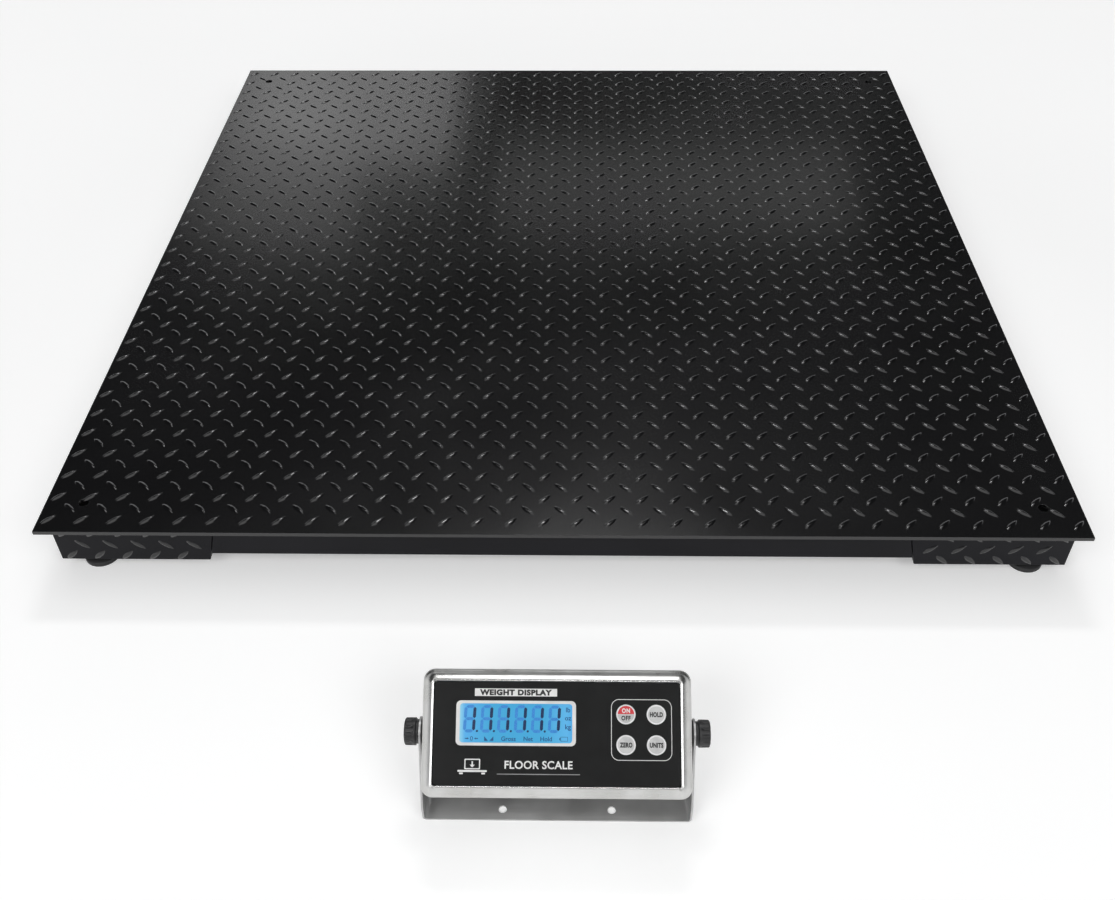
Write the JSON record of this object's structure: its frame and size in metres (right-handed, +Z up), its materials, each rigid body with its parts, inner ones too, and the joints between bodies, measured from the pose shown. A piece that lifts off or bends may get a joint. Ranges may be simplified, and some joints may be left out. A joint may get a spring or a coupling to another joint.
{
  "type": "pallet scale",
  "caption": "Low-profile square floor scale with a black tread-plate deck and levelling feet, and a stainless weighing indicator on its tilting bracket.",
  "frame": {"origin": "centre of the footprint of platform and indicator together, on the floor", "axes": "+Z up, +Y from the indicator in front towards the platform behind it, +X to the operator's right"},
  "size_m": [1.2192, 1.5464, 0.1455],
  "materials": {
    "deck_paint": "gloss black powder coat over tread plate",
    "frame_paint": "black powder coat, satin",
    "cell_steel": "nickel-plated alloy steel",
    "zinc_plate": "bright zinc plate",
    "foot_rubber": "moulded black rubber",
    "box_stainless": "brushed stainless",
    "board_green": "green solder mask",
    "gland_plastic": "black nylon",
    "lead_jacket": "black cable jacket",
    "housing_stainless": "drawn stainless, satin faces and bright slopes",
    "bracket_stainless": "brushed stainless sheet",
    "seal_rubber": "black foam rubber",
    "panel_print": "fine-textured black printed film",
    "display_blue": "blue backlit liquid-crystal display",
    "key_print": "light grey printed key film",
    "knob_plastic": "moulded black plastic",
    "battery_case": "dark grey battery case"
  },
  "bodies": {
    "platform": {"deck_plate": "deck_paint", "side_channel_left": "frame_paint", "side_channel_right": "frame_paint", "end_plate_front_left": "frame_paint", "end_plate_front_right": "frame_paint", "end_plate_rear_left": "frame_paint", "end_plate_rear_right": "frame_paint", "front_rail": "frame_paint", "rear_rail": "frame_paint", "cross_rib_front": "frame_paint", "cross_rib_middle": "frame_paint", "cross_rib_rear": "frame_paint", "load_cell_block_front_left": "frame_paint", "load_cell_block_front_right": "frame_paint", "load_cell_block_rear_left": "frame_paint", "load_cell_block_rear_right": "frame_paint", "load_cell_front_left": "cell_steel", "load_cell_front_right": "cell_steel", "load_cell_rear_left": "cell_steel", "load_cell_rear_right": "cell_steel", "foot_nut_front_left": "zinc_plate", "foot_nut_front_right": "zinc_plate", "foot_nut_rear_left": "zinc_plate", "foot_nut_rear_right": "zinc_plate", "cell_lead_front_left": "lead_jacket", "cell_lead_front_right": "lead_jacket", "cell_lead_rear_left": "lead_jacket", "cell_lead_rear_right": "lead_jacket", "junction_box": "box_stainless", "junction_box_lid": "box_stainless", "summing_board": "board_green", "platform_gland": "gland_plastic"},
    "foot_front_left": {"foot_pad_front_left": "foot_rubber"},
    "stud_front_left": {"foot_stud_front_left": "zinc_plate"},
    "foot_front_right": {"foot_pad_front_right": "foot_rubber"},
    "stud_front_right": {"foot_stud_front_right": "zinc_plate"},
    "foot_rear_left": {"foot_pad_rear_left": "foot_rubber"},
    "stud_rear_left": {"foot_stud_rear_left": "zinc_plate"},
    "foot_rear_right": {"foot_pad_rear_right": "foot_rubber"},
    "stud_rear_right": {"foot_stud_rear_right": "zinc_plate"},
    "indicator_bracket": {"bracket": "bracket_stainless"},
    "indicator_head": {"front_shell": "housing_stainless", "rear_cover": "housing_stainless", "cover_seal": "seal_rubber", "overlay_panel": "panel_print", "lcd_module": "display_blue", "main_board": "board_green", "battery": "battery_case", "signal_gland": "gland_plastic", "power_socket": "gland_plastic", "pivot_stud_left": "zinc_plate", "pivot_stud_right": "zinc_plate", "friction_washer_left": "seal_rubber", "friction_washer_right": "seal_rubber"},
    "knob_left": {"knob_left": "knob_plastic"},
    "knob_right": {"knob_right": "knob_plastic"},
    "key_on_off": {"key_on_off": "key_print"},
    "key_hold": {"key_hold": "key_print"},
    "key_zero": {"key_zero": "key_print"},
    "key_units": {"key_units": "key_print"}
  },
  "joints": [
    {"name": "foot_front_left_extend", "type": "slide", "parent": "platform", "child": "foot_front_left", "axis": [0, 0, -1], "range_m": [0, 0.01]},
    {"name": "foot_front_left_turn", "type": "hinge", "parent": "foot_front_left", "child": "stud_front_left", "pos_m": [-0.5646, -0.39801, 0.04], "axis": [0, 0, 1], "range_deg": [0, 2060]},
    {"name": "foot_front_right_extend", "type": "slide", "parent": "platform", "child": "foot_front_right", "axis": [0, 0, -1], "range_m": [0, 0.01]},
    {"name": "foot_front_right_turn", "type": "hinge", "parent": "foot_front_right", "child": "stud_front_right", "pos_m": [0.5646, -0.39801, 0.04], "axis": [0, 0, 1], "range_deg": [0, 2060]},
    {"name": "foot_rear_left_extend", "type": "slide", "parent": "platform", "child": "foot_rear_left", "axis": [0, 0, -1], "range_m": [0, 0.01]},
    {"name": "foot_rear_left_turn", "type": "hinge", "parent": "foot_rear_left", "child": "stud_rear_left", "pos_m": [-0.5646, 0.72519, 0.04], "axis": [0, 0, 1], "range_deg": [0, 2060]},
    {"name": "foot_rear_right_extend", "type": "slide", "parent": "platform", "child": "foot_rear_right", "axis": [0, 0, -1], "range_m": [0, 0.01]},
    {"name": "foot_rear_right_turn", "type": "hinge", "parent": "foot_rear_right", "child": "stud_rear_right", "pos_m": [0.5646, 0.72519, 0.04], "axis": [0, 0, 1], "range_deg": [0, 2060]},
    {"name": "indicator_lift", "type": "slide", "parent": "platform", "child": "indicator_bracket", "axis": [0, 0, 1], "range_m": [0, 0.3]},
    {"name": "indicator_tilt", "type": "hinge", "parent": "indicator_bracket", "child": "indicator_head", "pos_m": [0, -0.70801, 0.086], "axis": [-1, 0, 0], "range_deg": [-66, 34]},
    {"name": "knob_left_turn", "type": "hinge", "parent": "indicator_head", "child": "knob_left", "pos_m": [-0.142, -0.70801, 0.086], "axis": [-1, 0, 0], "range_deg": [0, 720]},
    {"name": "knob_right_turn", "type": "hinge", "parent": "indicator_head", "child": "knob_right", "pos_m": [0.142, -0.70801, 0.086], "axis": [1, 0, 0], "range_deg": [0, 720]},
    {"name": "key_on_off_press", "type": "slide", "parent": "indicator_head", "child": "key_on_off", "axis": [0, 0.5878, -0.809], "range_m": [0, 0.0006], "stiffness_N_per_m": 2500},
    {"name": "key_hold_press", "type": "slide", "parent": "indicator_head", "child": "key_hold", "axis": [0, 0.5878, -0.809], "range_m": [0, 0.0006], "stiffness_N_per_m": 2500},
    {"name": "key_zero_press", "type": "slide", "parent": "indicator_head", "child": "key_zero", "axis": [0, 0.5878, -0.809], "range_m": [0, 0.0006], "stiffness_N_per_m": 2500},
    {"name": "key_units_press", "type": "slide", "parent": "indicator_head", "child": "key_units", "axis": [0, 0.5878, -0.809], "range_m": [0, 0.0006], "stiffness_N_per_m": 2500}
  ],
  "couplings": [
    {"joint": "foot_front_left_turn", "follows": "foot_front_left_extend", "rad_per_m": 3590.4},
    {"joint": "foot_front_right_turn", "follows": "foot_front_right_extend", "rad_per_m": 3590.4},
    {"joint": "foot_rear_left_turn", "follows": "foot_rear_left_extend", "rad_per_m": 3590.4},
    {"joint": "foot_rear_right_turn", "follows": "foot_rear_right_extend", "rad_per_m": 3590.4}
  ]
}
